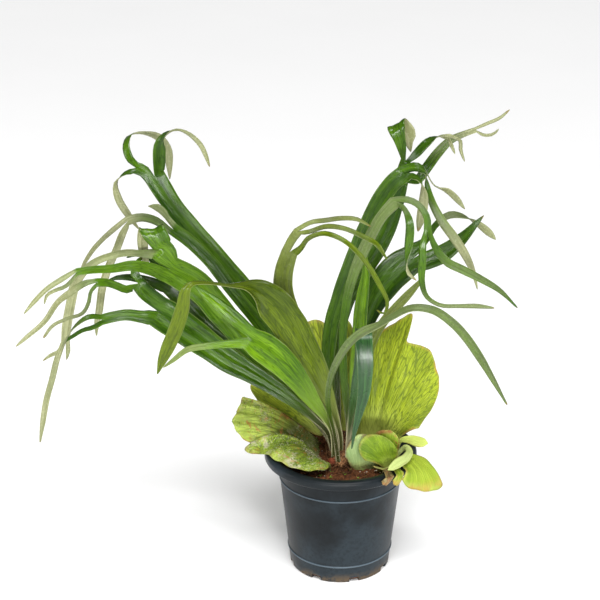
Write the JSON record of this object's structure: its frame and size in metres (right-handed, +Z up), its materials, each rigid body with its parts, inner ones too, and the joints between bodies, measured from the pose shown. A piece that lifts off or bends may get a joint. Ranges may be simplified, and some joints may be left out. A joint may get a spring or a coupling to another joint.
{
  "type": "potted staghorn fern",
  "caption": "Staghorn fern with forked, arching antler fronds and rounded shield fronds, growing from a scaly crown in a round black nursery pot filled with coir.",
  "frame": {"origin": "centre of the flat underside of the pot", "axes": "+Z up; -Y is the front, the side that the picture shows; +X is to the right as seen from the front"},
  "size_m": [0.4713, 0.2495, 0.4385],
  "materials": {
    "frond_left_front": "satin",
    "frond_left_crest": "satin",
    "frond_left_broad": "satin",
    "frond_left_arched": "satin",
    "frond_left_dark": "satin",
    "frond_left_wispy": "satin",
    "frond_left_tall": "satin",
    "frond_middle_arch": "satin",
    "frond_right_front": "satin",
    "frond_right_hanging": "satin",
    "frond_right_star": "satin",
    "frond_right_upright": "satin",
    "frond_right_tall": "satin",
    "frond_right_low": "satin",
    "frond_right_dark": "satin",
    "frond_right_highest": "satin",
    "offset_pointed": "rough",
    "offset_lobe": "rough",
    "shield_right": "rough",
    "shield_back": "rough",
    "shield_left": "rough",
    "shield_mossy": "rough",
    "offset_disc": "rough",
    "offset_pad": "rough",
    "offset_curl": "rough",
    "offset_under": "rough",
    "offset_tongue": "rough",
    "strip_dry": "rough",
    "strip_green": "rough",
    "pot": "satin",
    "potting_mix": "rough",
    "rhizome": "rough"
  },
  "bodies": {
    "root": {"frond_left_front": "frond_left_front", "frond_left_crest": "frond_left_crest", "frond_left_broad": "frond_left_broad", "frond_left_arched": "frond_left_arched", "frond_left_dark": "frond_left_dark", "frond_left_wispy": "frond_left_wispy", "frond_left_tall": "frond_left_tall", "frond_middle_arch": "frond_middle_arch", "frond_right_front": "frond_right_front", "frond_right_hanging": "frond_right_hanging", "frond_right_star": "frond_right_star", "frond_right_upright": "frond_right_upright", "frond_right_tall": "frond_right_tall", "frond_right_low": "frond_right_low", "frond_right_dark": "frond_right_dark", "frond_right_highest": "frond_right_highest", "offset_pointed": "offset_pointed", "offset_lobe": "offset_lobe", "shield_right": "shield_right", "shield_back": "shield_back", "shield_left": "shield_left", "shield_mossy": "shield_mossy", "offset_disc": "offset_disc", "offset_pad": "offset_pad", "offset_curl": "offset_curl", "offset_under": "offset_under", "offset_tongue": "offset_tongue", "strip_dry": "strip_dry", "strip_green": "strip_green", "pot": "pot", "potting_mix": "potting_mix", "rhizome": "rhizome"}
  },
  "joints": []
}
